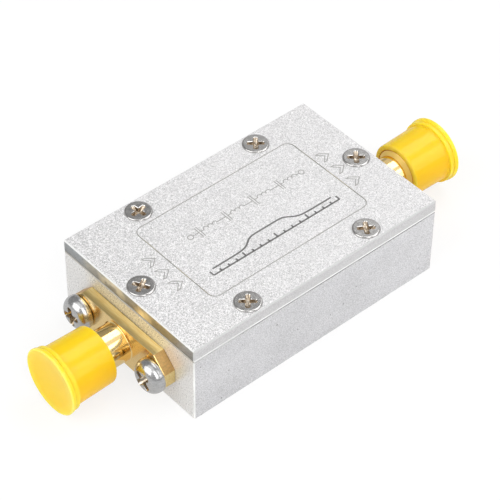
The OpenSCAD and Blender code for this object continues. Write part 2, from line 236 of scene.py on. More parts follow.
def moved(bm, matrix):
    bmesh.ops.transform(bm, matrix=matrix, verts=bm.verts)
    return bm


def merged(parts):
    """One mesh of several, each of which is used up."""
    whole = bmesh.new()
    for part in parts:
        scratch = bpy.data.meshes.new("scratch")
        part.to_mesh(scratch)
        part.free()
        whole.from_mesh(scratch)
        bpy.data.meshes.remove(scratch)
    return whole


def combined(target, tool, operation):
    """The exact boolean of two meshes, which are used up. Faces keep their material indices."""
    objects = []
    for bm in (target, tool):
        bmesh.ops.recalc_face_normals(bm, faces=bm.faces)
        mesh = bpy.data.meshes.new("scratch")
        bm.to_mesh(mesh)
        bm.free()
        piece = bpy.data.objects.new("scratch", mesh)
        bpy.context.scene.collection.objects.link(piece)
        objects.append(piece)
    modifier = objects[0].modifiers.new("combine", "BOOLEAN")
    modifier.operation = operation
    modifier.solver = "EXACT"
    modifier.object = objects[1]
    bpy.context.view_layer.update()
    result = bmesh.new()
    result.from_object(objects[0], bpy.context.evaluated_depsgraph_get())
    for piece in objects:
        mesh = piece.data
        bpy.data.objects.remove(piece)
        bpy.data.meshes.remove(mesh)
    return result


def end_matrix(side):
    """Local frame of a case end: the origin on the jack's axis, X outwards. side is -1 or 1."""
    turn = Matrix.Rotation(math.pi if side < 0 else 0, 4, "Z")
    return Matrix.Translation((side * CASE_END, 0, AXIS_Z)) @ turn


# Colours, as linear red, green and blue
LID_TINT = (0.995, 0.985, 0.99)
LID_END_WARM_REFLECTION_TINT = (1.0, 0.94, 0.78)
LID_END_COOL_TINT = (0.95, 0.985, 1.0)
LID_END_GOLD_REFLECTION_TINT = (0.88, 0.78, 0.56)
LID_CUT_EDGE_AND_HIGHLIGHT_TINT = (1.0, 1.0, 0.995)
LID_SEAM_HIGHLIGHT_TINT = (0.96, 0.96, 0.955)
LID_SEAM_SHADE_TINT = (0.10, 0.10, 0.10)
HOUSING_TINT = (0.985, 0.98, 1.0)
HOUSING_END_TINT = (0.99, 0.985, 0.975)
HOUSING_GOLD_REFLECTION_TINT = (1, 0.93, 0.77)
HOUSING_CUT_EDGE_AND_HIGHLIGHT_TINT = (1.0, 1.0, 0.99)
HOUSING_GROOVE_SHADE_TINT = (0.46, 0.44, 0.40)
HOUSING_SEAM_SHADE_TINT = (0.08, 0.08, 0.08)
GOLD_PALE_TINT = (0.97, 0.73, 0.34)
GOLD_DEEP_TINT = (0.94, 0.65, 0.25)
GOLD_LEAD_CAP_REFLECTION_TINT = (1.0, 0.72, 0.2)
GOLD_BRUSHED_TINT = (0.92, 0.75, 0.37)
GOLD_DRAG_TINT = (0.84, 0.63, 0.26)
GOLD_FRONT_SHADE_TINT = (0.36, 0.28, 0.12)
GOLD_CROP_SHADE_TINT = (0.60, 0.34, 0.12)
GOLD_CREVICE_SHADE_TINT = (0.19, 0.13, 0.055)
CAP_TINT = (0.89, 0.60, 0.006)
CAP_FLOW_TINT = (0.89, 0.62, 0.009)
CAP_UNDERSIDE_SHADE_TINT = (0.95, 0.54, 0.003)
CAP_LIP_LIGHT_TINT = (0.92, 0.69, 0.035)
CAP_FACE_SHADE_TINT = (0.94, 0.62, 0.012)
CAP_RIM_HIGHLIGHT_TINT = (0.96, 0.78, 0.13)
CAP_MOUTH_LIGHT_TINT = (1.0, 0.68, 0.07)
CAP_BORE_SHADE_TINT = (0.95, 0.50, 0.02)
INK_TINT = (1.0, 0.98, 0.95)
SLEEVE_TINT = (0.90, 0.90, 0.88)
SLEEVE_HAZE_TINT = (0.94, 0.94, 0.92)
MASK_TINT = (0.02, 0.13, 0.06)
WEAVE_TINT = (0.03, 0.18, 0.09)
CHIP_TINT = (0.42, 0.27, 0.16)
CHIP_GRAIN_TINT = (0.5, 0.34, 0.21)
CHIP_END_TINT = (0.75, 0.75, 0.74)

# Range that most of a noise lies in, and width over which a band fades out
NOISE_RANGE = (0.3, 0.7)
BAND_FADE = 0.02


# Materials
class Paint:
    """A material with short calls that add its nodes. Its coordinates are millimetres."""

    def __init__(self, name):
        self.material = bpy.data.materials.new(name)
        self.material.use_nodes = True
        self.tree = self.material.node_tree
        self.tree.nodes.clear()
        where = self.add("ShaderNodeTexCoord").outputs
        self.place = self.vector("SCALE", where["Object"], Scale=1 / MM)
        self.x, self.y, self.z = self.split(self.place)
        self.facing = self.split(self.vector("ABSOLUTE", where["Normal"]))

    def add(self, kind, sockets=None, **settings):
        node = self.tree.nodes.new(kind)
        for name, value in settings.items():
            setattr(node, name, value)
        for name, value in (sockets or {}).items():
            if isinstance(value, bpy.types.NodeSocket):
                self.tree.links.new(value, node.inputs[name])
            else:
                node.inputs[name].default_value = value
        return node

    def vector(self, operation, a, b=None, **sockets):
        sockets = {0: a, **sockets}
        if b is not None:
            sockets[1] = b
        return self.add("ShaderNodeVectorMath", sockets, operation=operation).outputs[0]

    def split(self, value):
        return self.add("ShaderNodeSeparateXYZ", {0: value}).outputs

    def math(self, operation, a, b=0.0, clamp=False):
        node = self.add("ShaderNodeMath", {0: a, 1: b}, operation=operation, use_clamp=clamp)
        return node.outputs[0]

    def times(self, a, b):
        return self.math("MULTIPLY", a, b)

    def plus(self, a, b, clamp=False):
        return self.math("ADD", a, b, clamp)

    def minus(self, a, b):
        return self.math("SUBTRACT", a, b)

    def size(self, value):
        """A value without its sign."""
        return self.math("ABSOLUTE", value)

    def noise(self, scale, detail=2.0, roughness=0.5, place=None):
        sockets = {"Vector": place or self.place, "Scale": scale, "Detail": detail,
                   "Roughness": roughness}
        return self.add("ShaderNodeTexNoise", sockets).outputs["Fac"]

    def stretched(self, scale):
        """Coordinates squeezed by a factor along each axis, for brushed or milled lines."""
        return self.vector("MULTIPLY", self.place, scale)

    def cells(self, scale, output="Distance"):
        sockets = {"Vector": self.place, "Scale": scale}
        return self.add("ShaderNodeTexVoronoi", sockets).outputs[output]

    def span(self, value, low, high, to_low=0.0, to_high=1.0, smooth=False):
        """Maps a value from one range to another and clamps it there."""
        sockets = {"Value": value, "From Min": low, "From Max": high, "To Min": to_low,
                   "To Max": to_high}
        kind = "SMOOTHSTEP" if smooth else "LINEAR"
        return self.add("ShaderNodeMapRange", sockets, interpolation_type=kind).outputs[0]

    def fall(self, value, low, high, smooth=False):
        """1 below a range of a value, 0 above it."""
        return self.span(value, low, high, 1, 0, smooth)

    def spread(self, noise, low=0.0, high=1.0):
        """Maps what a noise mostly is to a range."""
        return self.span(noise, *NOISE_RANGE, low, high)

    def blend(self, share, low, high):
        """A number between two others. mix does the same with colours."""
        return self.span(share, 0, 1, low, high)

    def band(self, value, low, high):
        """1 where a value lies between two limits, 0 elsewhere."""
        above = self.span(value, low - BAND_FADE, low)
        return self.times(above, self.fall(value, high, high + BAND_FADE))

    def faces(self, axis):
        """1 where the surface looks along an axis, 0 elsewhere."""
        return self.span(self.facing[axis], 0.8, 0.9)

    def broken_edges(self):
        """1 on the broken edges of a block, 0 on its flat faces."""
        flattest = self.math("MAXIMUM", self.facing[X], self.facing[Y])
        flattest = self.math("MAXIMUM", flattest, self.facing[Z])
        return self.fall(flattest, 0.74, 0.9)

    def mix(self, share, a, b):
        """Blend of two colours or grey values."""
        node = self.add("ShaderNodeMix", data_type="RGBA")
        shown = [socket for socket in node.inputs if socket.enabled]
        for socket, value in zip(shown, (share, a, b)):
            self.set(socket, value)
        return next(socket for socket in node.outputs if socket.enabled)

    def set(self, socket, value):
        """Links a socket or sets its value. A colour gets its alpha."""
        if isinstance(value, bpy.types.NodeSocket):
            self.tree.links.new(value, socket)
        elif socket.type == "RGBA":
            socket.default_value = (*value, 1)
        else:
            socket.default_value = value

    def tinted(self, tone, colour):
        """A colour times a grey value."""
        return self.vector("SCALE", colour, Scale=tone)

    def bump(self, height, depth, below=None):
        """A bump of a depth in millimetres, on top of another one."""
        sockets = {"Height": height, "Distance": depth * MM, "Strength": 1.0}
        if below is not None:
            sockets["Normal"] = below
        return self.add("ShaderNodeBump", sockets).outputs[0]

    def surface(self, **sockets):
        """The shader itself. Names are the shader's own, with underscores for spaces."""
        shader = self.add("ShaderNodeBsdfPrincipled")
        for name, value in sockets.items():
            self.set(shader.inputs[name.replace("_", " ")], value)
        out = self.add("ShaderNodeOutputMaterial")
        self.tree.links.new(shader.outputs[0], out.inputs["Surface"])
        return self.material


def lid_tone(p, grain, side):
    """Grey value of the lid's blasted faces, whose grain gets calmer away from the near end."""
    near_corner = p.span(p.minus(p.x, p.y), -31, -12, -0.04, 0)
    level = p.plus(p.spread(p.noise(0.1, 2), 0.78, 0.81), near_corner)
    level = p.minus(level, p.times(side, 0.15))
    swing = p.times(p.blend(p.faces(Z), 0.4, 1), p.span(p.x, -CASE_END, 4, 1.2, 0.85))
    speckle = p.plus(p.blend(grain, -0.3, 0.2), p.spread(p.noise(4, 2), -0.03, 0.03))
    return p.plus(level, p.times(speckle, swing))


def lid_end_colour(p, lines):
    """End faces of the lid, painted dark grey with milling lines as a painted reflection of darker
    surroundings, darker towards the seam, and with a painted reflection of the gold jack: warmer over
    it, and golden in patches there.
    """
    aside = p.size(p.y)
    # Painted reflection: the middle of each end is tinted warm where it mirrors the gold jack.
    colour = p.mix(p.span(aside, 6.5, 9.5, smooth=True), LID_END_WARM_REFLECTION_TINT, LID_END_COOL_TINT)
    # Painted dark reflection: a dark grey with milling lines, darker towards the seam.
    colour = p.tinted(p.spread(lines, 0.36, 0.5), colour)
    colour = p.tinted(p.span(p.z, SEAM_Z, LID_TOP - EDGE_BREAK, 0.78, 1.04), colour)
    # Painted reflection: golden patches over the jack.
    reflection_patches = p.span(p.noise(0.32, 2, 0.6), 0.44, 0.62, smooth=True)
    return p.mix(p.times(reflection_patches, p.fall(aside, 4, 9)), colour, LID_END_GOLD_REFLECTION_TINT)


def blasted_aluminium():
    """Lid: pale bead-blasted top, greyer sides, end faces with painted dark and gold reflections,
    broken edges painted bright, and painted light and shade along the seam.
    """
    p = Paint("blasted_aluminium")
    grain = p.split(p.cells(10, "Color"))[0]
    lines = p.noise(6, 3, 0.6, place=p.stretched((1, 0.3, 1)))
    end = p.faces(X)
    side = p.span(p.facing[Y], 0.5, 0.6)
    edge = p.broken_edges()
    colour = p.mix(end, p.tinted(lid_tone(p, grain, side), LID_TINT), lid_end_colour(p, lines))
    # Broken edges painted lighter than the faces: partly their freshly cut metal, partly a painted
    # highlight. Those along the sides are less bright.
    colour = p.mix(edge, colour, p.tinted(p.blend(side, 0.88, 0.6), LID_CUT_EDGE_AND_HIGHLIGHT_TINT))
    # Painted highlight: a pale line on the lid's sides just above the seam's chamfer.
    edge_top = SEAM_Z + EDGE_BREAK
    seam_highlight = p.times(p.band(p.z, edge_top - 0.01, edge_top + 0.07), side)
    colour = p.mix(seam_highlight, colour, LID_SEAM_HIGHLIGHT_TINT)
    # Painted shade of the seam: a dark band along the lid's lower edge on its ends.
    seam_shade = p.times(p.band(p.z, SEAM_Z, edge_top + 0.06), p.minus(1, side))
    colour = p.mix(seam_shade, colour, LID_SEAM_SHADE_TINT)
    rough = p.mix(end, p.spread(grain, 0.5, 0.62), p.spread(lines, 0.26, 0.36))
    metal = p.times(p.blend(end, 0.2, 0.85), p.blend(edge, 1, 0.3))
    relief = p.bump(p.times(grain, p.blend(end, 1, 0.25)), 0.03)
    return p.surface(Base_Color=colour, Roughness=rough, Metallic=metal, Normal=relief)


def dark_pits(p):
    """1 in a few small pits. Only some cells of the pattern hold one."""
    scale = 0.9
    chance = p.split(p.cells(scale, "Color"))[0]
    return p.times(p.fall(p.cells(scale), 0.08, 0.14), p.span(chance, 0.78, 0.79))


def housing_tone(p, grain, cloud, pit):
    """Grey value of the housing's sides, a little lighter towards the far end."""
    tone = p.plus(p.spread(grain, -0.21, 0.16), p.spread(cloud, 0.63, 0.69))
    tone = p.times(tone, p.span(p.x, 2, 18, 0.985, 1.05))
    return p.times(tone, p.blend(pit, 1, 0.4))


def housing_end_colour(p, sparkle):
    """Sparkling end faces of the housing, with a painted reflection of the gold flange on the strip
    above it.
    """
    flange_top = AXIS_Z + FLANGE_H / 2
    shiny = p.tinted(p.span(sparkle, 0.32, 0.66, 0.68, 1.0), HOUSING_END_TINT)
    # Painted reflection of the gold flange.
    gold_reflection = p.tinted(p.span(sparkle, 0.36, 0.62, 0.5, 1.05), HOUSING_GOLD_REFLECTION_TINT)
    strip = p.times(p.span(p.z, flange_top, flange_top + 0.1), p.span(p.size(p.y), 6, 8.5, 0.8, 0))
    return p.mix(strip, shiny, gold_reflection)


def milled_aluminium():
    """Housing: fine blasted sides with a few dark pits, and sparkling semi-gloss end faces."""
    p = Paint("milled_aluminium")
    grain = p.noise(7.5, 2, 0.6)
    cloud = p.noise(0.25, 3)
    sparkle = p.noise(4.6, 2, 0.7)
    pit = dark_pits(p)
    end = p.faces(X)
    sides = p.tinted(housing_tone(p, grain, cloud, pit), HOUSING_TINT)
    colour = p.mix(end, sides, housing_end_colour(p, sparkle))
    # Broken and upright edges painted lighter: partly their freshly cut metal, partly a painted
    # highlight.
    upright = p.span(p.times(p.facing[X], p.facing[Y]), 0.1, 0.3)
    edge = p.math("MAXIMUM", p.broken_edges(), upright)
    colour = p.mix(edge, colour, p.tinted(p.span(cloud, 0.35, 0.6, 0.74, 0.96), HOUSING_CUT_EDGE_AND_HIGHLIGHT_TINT))
    edge_foot = SEAM_Z - EDGE_BREAK
    # Painted shade in the seam's groove: the housing's top chamfer on its ends is darkened.
    groove_shade = p.times(p.band(p.z, edge_foot, SEAM_Z), p.span(p.facing[X], 0.3, 0.5))
    colour = p.mix(groove_shade, colour, HOUSING_GROOVE_SHADE_TINT)
    # Painted shade of the seam: a broken dark hairline on the housing's sides at the foot of the
    # chamfer.
    seam_shade = p.times(p.band(p.z, edge_foot - 0.02, edge_foot + 0.04), p.span(p.facing[Y], 0.5, 0.6))
    seam_shade = p.times(seam_shade, p.span(cloud, 0.35, 0.55, 0.35, 0.95))
    colour = p.mix(seam_shade, colour, HOUSING_SEAM_SHADE_TINT)
    rough = p.mix(end, p.spread(grain, 0.45, 0.58), p.spread(sparkle, 0.26, 0.42))
    metal = p.times(p.blend(end, 0.22, 0.6), p.blend(edge, 1, 0.3))
    relief = p.bump(pit, -0.03, p.bump(p.mix(end, grain, sparkle), 0.018))
    return p.surface(Base_Color=colour, Roughness=rough, Metallic=metal, Normal=relief)


def bright_gold(p, grain, lead):
    """Gold of the neck and the flange's front, with a painted orange reflection of the yellow cap where
    the thread starts.
    """
    colour = p.mix(p.span(grain, 0.35, 0.7, 0, 0.6), GOLD_PALE_TINT, GOLD_DEEP_TINT)
    # Painted reflection of the yellow cap on the thread's lead.
    return p.mix(lead, colour, GOLD_LEAD_CAP_REFLECTION_TINT)


def brushed_gold(p, grain, lines, outward):
    """Gold of the flange's edges, with painted shade: darker towards the front on its top and bottom,
    darker brown on the cropped corners, and dark in the crevice at the case.
    """
    front = CASE_END + FLANGE_T
    colour = p.mix(p.span(lines, 0.38, 0.62), GOLD_BRUSHED_TINT, GOLD_DRAG_TINT)
    # Painted shade: a darker reflection on the top and bottom faces near the front.
    front_shade = p.times(p.span(outward, front - 0.9, front - 0.15, 0, 0.5), p.faces(Z))
    colour = p.mix(front_shade, colour, GOLD_FRONT_SHADE_TINT)
    # Painted shade: the cropped corners darker brown.
    crop = p.span(p.times(p.facing[Y], p.facing[Z]), 0.3, 0.45)
    crop_shade = p.tinted(p.span(grain, 0.35, 0.65, 0.8, 1.1), GOLD_CROP_SHADE_TINT)
    colour = p.mix(p.times(crop, 0.8), colour, crop_shade)
    # Painted shade in the crevice where the flange meets the case.
    foot = p.times(p.fall(outward, CASE_END + 0.11, CASE_END + 0.16),
                   p.span(p.size(p.y), 4.5, 7, 1, 0.2))
    foot = p.times(foot, p.span(grain, 0.35, 0.5, 0.35, 0.75))
    return p.mix(foot, colour, GOLD_CREVICE_SHADE_TINT)


def gold_plate():
    """Jack shells: bright on the neck and the flange's front, brushed on the flange's edges."""
    p = Paint("gold_plate")
    front = CASE_END + FLANGE_T
    thread_start = front + NECK_L
    outward = p.size(p.x)
    grain = p.noise(3.2, 3, 0.6)
    lines = p.noise(5, 3, 0.65, place=p.stretched((1.6, 0.1, 1.6)))
    lead = p.band(outward, thread_start, thread_start + THREAD_PLAIN)
    plate = p.times(p.band(outward, front - 0.01, front + 0.01), p.faces(X))
    upper = p.times(p.fall(outward, front - 0.01, front),
                    p.span(p.minus(p.facing[Z], p.facing[Y]), 0.2, 0.4))
    rim = p.fall(outward, front - FLANGE_BEVEL - 0.02, front - FLANGE_BEVEL)
    rim = p.math("MAXIMUM", rim, upper)
    colour = p.mix(rim, bright_gold(p, grain, lead), brushed_gold(p, grain, lines, outward))
    polish = p.mix(plate, p.spread(grain, 0.07, 0.13), p.spread(grain, 0.16, 0.24))
    polish = p.plus(polish, p.times(lead, 0.3))
    rough = p.mix(rim, polish, p.spread(lines, 0.36, 0.5))
    relief = p.bump(grain, 0.002, p.bump(p.times(lines, rim), 0.008))
    return p.surface(Base_Color=colour, Roughness=rough, Metallic=p.blend(lead, 1, 0.4), Normal=relief)


def nickel(name, colour, low, high):
    """Plated screw heads with faint drag marks and duller patches."""
    p = Paint(name)
    scuff = p.noise(2.2, 3, 0.6, place=p.stretched((1, 1, 3)))
    return p.surface(Base_Color=p.tinted(p.spread(scuff, 0.86, 1.08), colour),
                     Roughness=p.spread(scuff, low, high), Metallic=1.0, Normal=p.bump(scuff, 0.0025))


def shaded_recess_metal(name, light, dark):
    """Inside of a cross recess, painted darker and brownish as painted shade and a painted reflection
    of the gold, in two tones by a noise.
    """
    p = Paint(name)
    stain = p.noise(2.6, 2, 0.6)
    colour = p.mix(p.span(stain, 0.38, 0.62), light, dark)
    return p.surface(Base_Color=colour, Roughness=p.spread(stain, 0.2, 0.32), Metallic=0.95,
                     Normal=p.bump(p.noise(6, 2), 0.006))


def cap_zones(p, node):
    """Zones of a cap that differ from its plain wall, as shares with their colours. All of them are
    painted light and shade.
    """
    low, high = box_mm(node)
    length = high.x - low.x
    lip_r = (high.z - low.z) / 2
    depth = p.minus(max(high.x, -low.x), p.size(p.x))
    aside = p.minus(p.z, AXIS_Z)
    radius = p.math("SQRT", p.plus(p.times(p.y, p.y), p.times(aside, aside)))
    # Painted shade: the underside warmer and darker.
    underside_shade = p.fall(aside, 0.1 * CAP_TUBE_R, 0.85 * CAP_TUBE_R, smooth=True)
    # Painted light: paler thin lips, for the light that shines through them.
    lip_light = p.fall(depth, 2 * CAP_LIP_L - 0.05, 2 * CAP_LIP_L + 0.35, smooth=True)
    # Painted shade: the closed end's middle warmer, over the metal inside.
    face = p.times(p.fall(depth, 0.08, 0.12),
                   p.fall(radius, CAP_BORE_R - 0.3, CAP_MOUTH_R + 0.3, smooth=True))
    # Painted highlight along the rim's edge.
    rim = p.times(p.fall(depth, CAP_LIP_ROUND, CAP_LIP_ROUND + 0.08),
                  p.span(radius, lip_r - 0.28, lip_r - 0.14))
    # Painted light: a brighter mouth, for the light that shines through its thin wall.
    mouth = p.span(depth, length - CAP_MOUTH_ROUND - 0.05, length - 0.05, smooth=True)
    # Painted shade inside the bore.
    bore = p.times(p.fall(radius, CAP_BORE_R + 0.02, CAP_BORE_R + 0.12), p.span(depth, 1, 1.2))
    return ((underside_shade, CAP_UNDERSIDE_SHADE_TINT), (lip_light, CAP_LIP_LIGHT_TINT), (face, CAP_FACE_SHADE_TINT),
            (rim, CAP_RIM_HIGHLIGHT_TINT), (mouth, CAP_MOUTH_LIGHT_TINT), (bore, CAP_BORE_SHADE_TINT))


def yellow_plastic(name, node):
    """Dust cap: soft polyethylene, with painted light at the thin lips and the mouth, a painted
    highlight on the rim, and painted shade underneath, inside the bore and over the metal inside.
    """
    p = Paint(name)
    flow = p.noise(0.5, 3, place=p.stretched((0.5, 1, 1)))
    skin = p.noise(7, 2)
    colour = p.mix(p.span(flow, 0.35, 0.65), CAP_TINT, CAP_FLOW_TINT)
    for share, tint in cap_zones(p, node):
        colour = p.mix(share, colour, tint)
    return p.surface(Base_Color=colour, Roughness=p.spread(skin, 0.2, 0.26),
                     Subsurface_Weight=0.8, Subsurface_Radius=(1.0, 0.8, 0.15),
                     Subsurface_Scale=0.8 * MM, IOR=1.4,
                     Normal=p.bump(flow, 0.03, p.bump(skin, 0.0012)))


def engraved_ink(name, tone):
    """Laser-darkened metal."""
    p = Paint(name)
    grain = p.noise(9, 3, 0.6)
    value = p.spread(grain, tone * 0.85, tone * 1.15)
    return p.surface(Base_Color=p.tinted(value, INK_TINT), Roughness=0.6, Metallic=0.2,
                     Normal=p.bump(grain, 0.006))


def insulator():
    """Sleeves: white, slightly milky plastic."""
    p = Paint("insulator")
    haze = p.noise(1.5, 3)
    return p.surface(Base_Color=p.mix(p.spread(haze), SLEEVE_TINT, SLEEVE_HAZE_TINT),
                     Roughness=p.spread(haze, 0.38, 0.5), Subsurface_Weight=0.2,
                     Subsurface_Radius=(1.0, 1.0, 1.0), Subsurface_Scale=0.5 * MM,
                     Normal=p.bump(p.noise(10, 2), 0.002))


def plain_metal(name, colour, low, high, grain_scale=8, depth=0.002):
    """Metal of one colour with a fine grain, for what is inside the case."""
    p = Paint(name)
    grain = p.noise(grain_scale, 3)
    return p.surface(Base_Color=p.tinted(p.spread(grain, 0.93, 1.04), colour),
                     Roughness=p.spread(grain, low, high), Metallic=1.0, Normal=p.bump(grain, depth))


def laminate():
    """Board: green mask over a woven glass cloth."""
    p = Paint("laminate")
    threads_per_mm = 2.2
    across = p.split(p.stretched((threads_per_mm, threads_per_mm, 0)))
    weave = p.times(p.math("SINE", p.times(across[X], math.pi)),
                    p.math("SINE", p.times(across[Y], math.pi)))
    return p.surface(Base_Color=p.mix(p.span(weave, -1, 1, 0.2, 0.8), MASK_TINT, WEAVE_TINT),
                     Roughness=p.spread(p.noise(3), 0.3, 0.4), IOR=1.5, Normal=p.bump(weave, 0.01))


def chip_ceramic():
    """Capacitor: tan ceramic whose tinned ends stand over it."""
    p = Paint("chip_ceramic")
    grain = p.noise(12, 3)
    tinned = p.span(p.size(p.y), CHIP_BODY_HALF_W, CHIP_BODY_HALF_W + 0.01)
    tan = p.mix(p.spread(grain), CHIP_TINT, CHIP_GRAIN_TINT)
    return p.surface(Base_Color=p.mix(tinned, tan, CHIP_END_TINT), Metallic=tinned,
                     Roughness=p.spread(grain, 0.35, 0.5), Normal=p.bump(grain, 0.004))


gold_paint = gold_plate()
lid_screw_paint = nickel("lid_screw_steel", (0.57, 0.56, 0.55), 0.14, 0.24)
flange_screw_paint = nickel("flange_screw_nickel", (0.60, 0.60, 0.60), 0.2, 0.27)
# Recess paints: painted shade and a brownish painted reflection inside the recesses.
lid_recess_shade_paint = shaded_recess_metal("lid_screw_recess_shade", (0.64, 0.56, 0.46), (0.32, 0.25, 0.18))
pan_recess_shade_paint = shaded_recess_metal("flange_screw_recess_shade", (0.62, 0.56, 0.47), (0.30, 0.23, 0.15))
dark_ink = engraved_ink("dark_mark", 0.16)
border_ink = engraved_ink("border_mark", 0.48)
faint_ink = engraved_ink("faint_mark", 0.38)

NODE_PAINTS = (
    (milled_aluminium(), ["housing"]),
    (blasted_aluminium(), ["lid"]),
    (insulator(), [f"{end}_dielectric" for end in ENDS]),
    (plain_metal("contact_gold", (0.97, 0.76, 0.36), 0.12, 0.2), [f"{end}_contact" for end in ENDS]),
    (plain_metal("solder", (0.76, 0.76, 0.77), 0.15, 0.3, 3, 0.02), [f"{end}_solder" for end in ENDS]),
    (laminate(), ["circuit_board"]),
    (plain_metal("copper", (0.93, 0.68, 0.36), 0.25, 0.38), ["signal_traces", "ground_copper"]),
    (plain_metal("board_screw_steel", (0.74, 0.74, 0.74), 0.25, 0.35), ["board_screws"]),
    (plain_metal("silvered_ceramic", (0.86, 0.85, 0.83), 0.35, 0.5, 5, 0.01),
     [f"resonator_{i}" for i in (1, 2, 3)]),
    (plain_metal("tab_metal", (0.78, 0.77, 0.74), 0.22, 0.35),
     [f"resonator_tab_{i}" for i in (1, 2, 3)]),
    (chip_ceramic(), [f"coupling_capacitor_{i}" for i in (1, 2, 3, 4)]),
)


def paint_nodes():
    """Gives each CAD node that stays its procedural material."""
    for paint, nodes in NODE_PAINTS:
        for node in nodes:
            materials = frame["nodes"][node].data.materials
            materials.clear()
            materials.append(paint)


# Dust caps
def ridge(x, length, low, high, sweep):
    """Rounded ridge as (x, radius) points. 180 degrees go up and back down, and 90 only up."""
    turns = angles(0, sweep, 12)[1:]
    reach = 1 - math.cos(turns[-1])
    return [(x + length * (1 - math.cos(a)) / reach, low + (high - low) * math.sqrt(abs(math.sin(a))))
            for a in turns]


def cap_profile(length, lip_r, groove):
    """Outline of a cap from the floor of its bore, round the mouth and on to the closed end."""
    tube_l = length - 2 * CAP_LIP_L
    foot = tube_l - CAP_FOOT_L
    taper = (CAP_TUBE_R - CAP_MOUTH_R) / (foot - CAP_MOUTH_ROUND)
    tube = [(x, CAP_MOUTH_R + taper * (x - CAP_MOUTH_ROUND))
            for x in (CAP_MOUTH_ROUND + CAP_FOOT_L / 2, foot - CAP_FOOT_L / 2, foot)]
    quarter = CAP_FOOT_L / 4
    base_r = CAP_INNER_LIP_R - groove
    mouth = arc((CAP_MOUTH_ROUND, CAP_MOUTH_R - CAP_MOUTH_ROUND), CAP_MOUTH_ROUND, 180, 90, 8)
    throat = arc((CAP_THROAT_ROUND, CAP_BORE_R + CAP_THROAT_ROUND), CAP_THROAT_ROUND, 270, 180, 5)
    rim = arc((length - CAP_LIP_ROUND, lip_r - CAP_LIP_ROUND), CAP_LIP_ROUND, 90, 0, 5)
    return [
        (CAP_DEPTH, 0), (CAP_DEPTH, CAP_BORE_R - CAP_FLOOR_CHAMFER),
        (CAP_DEPTH - CAP_FLOOR_CHAMFER, CAP_BORE_R), *throat, *mouth, *tube,
        (tube_l - quarter, CAP_TUBE_R + quarter), (tube_l, CAP_TUBE_R + CAP_FOOT_RISE),
        *ridge(tube_l, CAP_LIP_L, base_r, CAP_INNER_LIP_R, 180),
        *ridge(tube_l + CAP_LIP_L, CAP_LIP_L - CAP_LIP_ROUND, base_r, lip_r, 90), *rim,
        *[(length - share * CAP_DISH, lip_r - inset) for share, inset in CAP_DISH_SLOPE],
        (length - CAP_DISH, 0),
    ]


def moulding_nub(face_x, lip_r):
    """Trimmed gate of the mould on the rim of the closed end."""
    length, rise, width = NUB_SIZE
    bm = bmesh.new()
    bmesh.ops.create_uvsphere(bm, u_segments=20, v_segments=12, radius=1)
    place = Matrix.Translation((face_x - length, lip_r * math.cos(NUB_ANGLE),
                                lip_r * math.sin(NUB_ANGLE)))
    turn = Matrix.Rotation(NUB_ANGLE, 4, "X")
    return moved(bm, place @ turn @ Matrix.Diagonal((length, rise, width, 1)))


def dust_cap(end):
    """Cap of one end of the part."""
    side = ENDS[end]
    node = f"{end}_dust_cap"
    low, high = box_mm(node)
    length = high.x - low.x
    lip_r = (high.z - low.z) / 2
    mouth = (low.x if side > 0 else -high.x) - CASE_END
    bm = revolve(cap_profile(length, lip_r, CAP_GROOVE[end]), CAP_SEGMENTS)
    if end == NUB_END:
        bm = combined(bm, moulding_nub(length, lip_r - NUB_SINK), "UNION")
    moved(bm, end_matrix(side) @ Matrix.Translation((mouth, 0, 0)))
    finish(bm, f"{end}_cap_moulding", f"{end}_cap", yellow_plastic(f"{end}_cap_plastic", node),
           replaces=[node], slot="yellow_plastic")


# Jacks
def flange_plate():
    """Flange with cropped corners and softened edges, from the case end outwards."""
    bm = bmesh.new()
    y = FLANGE_L / 2
    z = FLANGE_H / 2
    outline = [(y - FLANGE_CROP, -z), (y, FLANGE_CROP - z), (y, z - FLANGE_CROP), (y - FLANGE_CROP, z),
               (FLANGE_CROP - y, z), (-y, z - FLANGE_CROP), (-y, FLANGE_CROP - z),
               (FLANGE_CROP - y, -z)]
    face = bm.faces.new([bm.verts.new((0, *point)) for point in outline])
    made = bmesh.ops.extrude_face_region(bm, geom=[face])
    bmesh.ops.translate(bm, vec=(FLANGE_T, 0, 0),
                        verts=[v for v in made["geom"] if isinstance(v, bmesh.types.BMVert)])
    bmesh.ops.recalc_face_normals(bm, faces=bm.faces)
    bmesh.ops.bevel(bm, geom=bm.edges[:], offset=FLANGE_BEVEL, segments=2, profile=0.5,
                    affect="EDGES")
    return bm


def barrel_radius(x, turn):
    """Radius of the neck and the thread at a distance from the case and a share of a turn."""
    start = FLANGE_T + NECK_L
    if x < start:
        fillet = min(max(FLANGE_T + NECK_FILLET - x, 0), NECK_FILLET)
        return NECK_R + fillet * fillet / NECK_FILLET
    tip = max(0.0, x - (BARREL_TIP - THREAD_DEPTH))
    crest = min(THREAD_R - tip, NECK_R + (x - start) * THREAD_LEAD)
    if x < start + THREAD_PLAIN:
        return crest
    phase = ((x - start) / THREAD_PITCH - turn) % 1
    wave = min(max(abs(phase - 0.5) * 2 * FLANK_SLOPE - THREAD_LAND, 0), 1)
    cut = min((x - start - THREAD_PLAIN) / THREAD_RUN_IN, 1)
    return min(THREAD_R - THREAD_DEPTH * wave * cut, crest)


